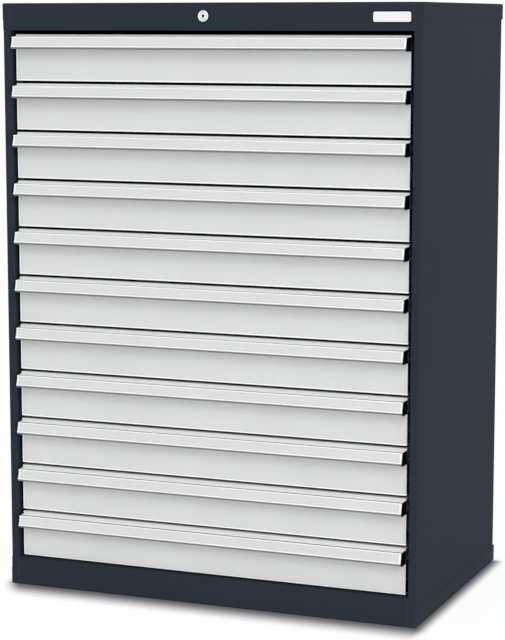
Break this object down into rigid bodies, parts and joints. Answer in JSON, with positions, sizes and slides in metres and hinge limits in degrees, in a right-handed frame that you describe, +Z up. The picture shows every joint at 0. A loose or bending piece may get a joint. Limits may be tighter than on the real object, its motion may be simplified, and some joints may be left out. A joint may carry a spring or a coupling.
{
  "type": "industrial drawer cabinet",
  "caption": "Floor-standing steel workshop cabinet with full-width pull-out drawers on telescopic runners, bar handles with label grooves and one central cylinder lock.",
  "frame": {"origin": "under the middle of the whole object, on the floor", "axes": "+Z up, the drawers open towards -Y, +X to the right of someone in front of the cabinet"},
  "size_m": [0.9, 0.5874, 1.22],
  "materials": {
    "housing_paint": "satin anthracite powder coat",
    "drawer_paint": "satin light grey powder coat",
    "handle_aluminium": "natural anodised, with black plastic ends",
    "zinc_steel": "bright zinc plated",
    "lock_chrome": "polished nickel",
    "lock_brass": "nickel plated brass"
  },
  "bodies": {
    "housing": {"top_cover": "housing_paint", "base_pan": "housing_paint", "side_panel_left": "housing_paint", "side_panel_right": "housing_paint", "back_panel": "housing_paint", "runner_frame_left": "zinc_steel", "runner_frame_right": "zinc_steel", "lock_collar": "lock_chrome", "lock_nut": "lock_brass", "shaft_bracket": "zinc_steel", "bar_guide_upper": "zinc_steel", "bar_guide_lower": "zinc_steel"},
    "drawer_01": {"drawer_01_tray": "drawer_paint", "drawer_01_handle": "handle_aluminium"},
    "drawer_01_runners": {"drawer_01_runner_left": "zinc_steel", "drawer_01_runner_right": "zinc_steel"},
    "drawer_02": {"drawer_02_tray": "drawer_paint", "drawer_02_handle": "handle_aluminium"},
    "drawer_02_runners": {"drawer_02_runner_left": "zinc_steel", "drawer_02_runner_right": "zinc_steel"},
    "drawer_03": {"drawer_03_tray": "drawer_paint", "drawer_03_handle": "handle_aluminium"},
    "drawer_03_runners": {"drawer_03_runner_left": "zinc_steel", "drawer_03_runner_right": "zinc_steel"},
    "drawer_04": {"drawer_04_tray": "drawer_paint", "drawer_04_handle": "handle_aluminium"},
    "drawer_04_runners": {"drawer_04_runner_left": "zinc_steel", "drawer_04_runner_right": "zinc_steel"},
    "drawer_05": {"drawer_05_tray": "drawer_paint", "drawer_05_handle": "handle_aluminium"},
    "drawer_05_runners": {"drawer_05_runner_left": "zinc_steel", "drawer_05_runner_right": "zinc_steel"},
    "drawer_06": {"drawer_06_tray": "drawer_paint", "drawer_06_handle": "handle_aluminium"},
    "drawer_06_runners": {"drawer_06_runner_left": "zinc_steel", "drawer_06_runner_right": "zinc_steel"},
    "drawer_07": {"drawer_07_tray": "drawer_paint", "drawer_07_handle": "handle_aluminium"},
    "drawer_07_runners": {"drawer_07_runner_left": "zinc_steel", "drawer_07_runner_right": "zinc_steel"},
    "drawer_08": {"drawer_08_tray": "drawer_paint", "drawer_08_handle": "handle_aluminium"},
    "drawer_08_runners": {"drawer_08_runner_left": "zinc_steel", "drawer_08_runner_right": "zinc_steel"},
    "drawer_09": {"drawer_09_tray": "drawer_paint", "drawer_09_handle": "handle_aluminium"},
    "drawer_09_runners": {"drawer_09_runner_left": "zinc_steel", "drawer_09_runner_right": "zinc_steel"},
    "drawer_10": {"drawer_10_tray": "drawer_paint", "drawer_10_handle": "handle_aluminium"},
    "drawer_10_runners": {"drawer_10_runner_left": "zinc_steel", "drawer_10_runner_right": "zinc_steel"},
    "drawer_11": {"drawer_11_tray": "drawer_paint", "drawer_11_handle": "handle_aluminium"},
    "drawer_11_runners": {"drawer_11_runner_left": "zinc_steel", "drawer_11_runner_right": "zinc_steel"},
    "lock_core": {"lock_cylinder": "lock_brass", "lock_shaft": "zinc_steel", "lock_crank": "zinc_steel"},
    "locking_bar": {"locking_bar": "zinc_steel"}
  },
  "joints": [
    {"name": "drawer_01_slide", "type": "slide", "parent": "housing", "child": "drawer_01", "axis": [0, -1, 0], "range_m": [0, 0.5]},
    {"name": "drawer_01_runner_slide", "type": "slide", "parent": "housing", "child": "drawer_01_runners", "axis": [0, -1, 0], "range_m": [0, 0.25]},
    {"name": "drawer_02_slide", "type": "slide", "parent": "housing", "child": "drawer_02", "axis": [0, -1, 0], "range_m": [0, 0.5]},
    {"name": "drawer_02_runner_slide", "type": "slide", "parent": "housing", "child": "drawer_02_runners", "axis": [0, -1, 0], "range_m": [0, 0.25]},
    {"name": "drawer_03_slide", "type": "slide", "parent": "housing", "child": "drawer_03", "axis": [0, -1, 0], "range_m": [0, 0.5]},
    {"name": "drawer_03_runner_slide", "type": "slide", "parent": "housing", "child": "drawer_03_runners", "axis": [0, -1, 0], "range_m": [0, 0.25]},
    {"name": "drawer_04_slide", "type": "slide", "parent": "housing", "child": "drawer_04", "axis": [0, -1, 0], "range_m": [0, 0.5]},
    {"name": "drawer_04_runner_slide", "type": "slide", "parent": "housing", "child": "drawer_04_runners", "axis": [0, -1, 0], "range_m": [0, 0.25]},
    {"name": "drawer_05_slide", "type": "slide", "parent": "housing", "child": "drawer_05", "axis": [0, -1, 0], "range_m": [0, 0.5]},
    {"name": "drawer_05_runner_slide", "type": "slide", "parent": "housing", "child": "drawer_05_runners", "axis": [0, -1, 0], "range_m": [0, 0.25]},
    {"name": "drawer_06_slide", "type": "slide", "parent": "housing", "child": "drawer_06", "axis": [0, -1, 0], "range_m": [0, 0.5]},
    {"name": "drawer_06_runner_slide", "type": "slide", "parent": "housing", "child": "drawer_06_runners", "axis": [0, -1, 0], "range_m": [0, 0.25]},
    {"name": "drawer_07_slide", "type": "slide", "parent": "housing", "child": "drawer_07", "axis": [0, -1, 0], "range_m": [0, 0.5]},
    {"name": "drawer_07_runner_slide", "type": "slide", "parent": "housing", "child": "drawer_07_runners", "axis": [0, -1, 0], "range_m": [0, 0.25]},
    {"name": "drawer_08_slide", "type": "slide", "parent": "housing", "child": "drawer_08", "axis": [0, -1, 0], "range_m": [0, 0.5]},
    {"name": "drawer_08_runner_slide", "type": "slide", "parent": "housing", "child": "drawer_08_runners", "axis": [0, -1, 0], "range_m": [0, 0.25]},
    {"name": "drawer_09_slide", "type": "slide", "parent": "housing", "child": "drawer_09", "axis": [0, -1, 0], "range_m": [0, 0.5]},
    {"name": "drawer_09_runner_slide", "type": "slide", "parent": "housing", "child": "drawer_09_runners", "axis": [0, -1, 0], "range_m": [0, 0.25]},
    {"name": "drawer_10_slide", "type": "slide", "parent": "housing", "child": "drawer_10", "axis": [0, -1, 0], "range_m": [0, 0.5]},
    {"name": "drawer_10_runner_slide", "type": "slide", "parent": "housing", "child": "drawer_10_runners", "axis": [0, -1, 0], "range_m": [0, 0.25]},
    {"name": "drawer_11_slide", "type": "slide", "parent": "housing", "child": "drawer_11", "axis": [0, -1, 0], "range_m": [0, 0.5]},
    {"name": "drawer_11_runner_slide", "type": "slide", "parent": "housing", "child": "drawer_11_runners", "axis": [0, -1, 0], "range_m": [0, 0.25]},
    {"name": "lock_turn", "type": "hinge", "parent": "housing", "child": "lock_core", "pos_m": [0, -0.27625, 1.1934], "axis": [0, 1, 0], "range_deg": [0, 90]},
    {"name": "locking_bar_lift", "type": "slide", "parent": "housing", "child": "locking_bar", "axis": [0, 0, 1], "range_m": [0, 0.00848]}
  ],
  "couplings": [
    {"joint": "drawer_01_runner_slide", "follows": "drawer_01_slide", "ratio": 0.5},
    {"joint": "drawer_02_runner_slide", "follows": "drawer_02_slide", "ratio": 0.5},
    {"joint": "drawer_03_runner_slide", "follows": "drawer_03_slide", "ratio": 0.5},
    {"joint": "drawer_04_runner_slide", "follows": "drawer_04_slide", "ratio": 0.5},
    {"joint": "drawer_05_runner_slide", "follows": "drawer_05_slide", "ratio": 0.5},
    {"joint": "drawer_06_runner_slide", "follows": "drawer_06_slide", "ratio": 0.5},
    {"joint": "drawer_07_runner_slide", "follows": "drawer_07_slide", "ratio": 0.5},
    {"joint": "drawer_08_runner_slide", "follows": "drawer_08_slide", "ratio": 0.5},
    {"joint": "drawer_09_runner_slide", "follows": "drawer_09_slide", "ratio": 0.5},
    {"joint": "drawer_10_runner_slide", "follows": "drawer_10_slide", "ratio": 0.5},
    {"joint": "drawer_11_runner_slide", "follows": "drawer_11_slide", "ratio": 0.5},
    {"joint": "lock_turn", "follows": "locking_bar_lift", "rad_per_m": 185.13}
  ]
}
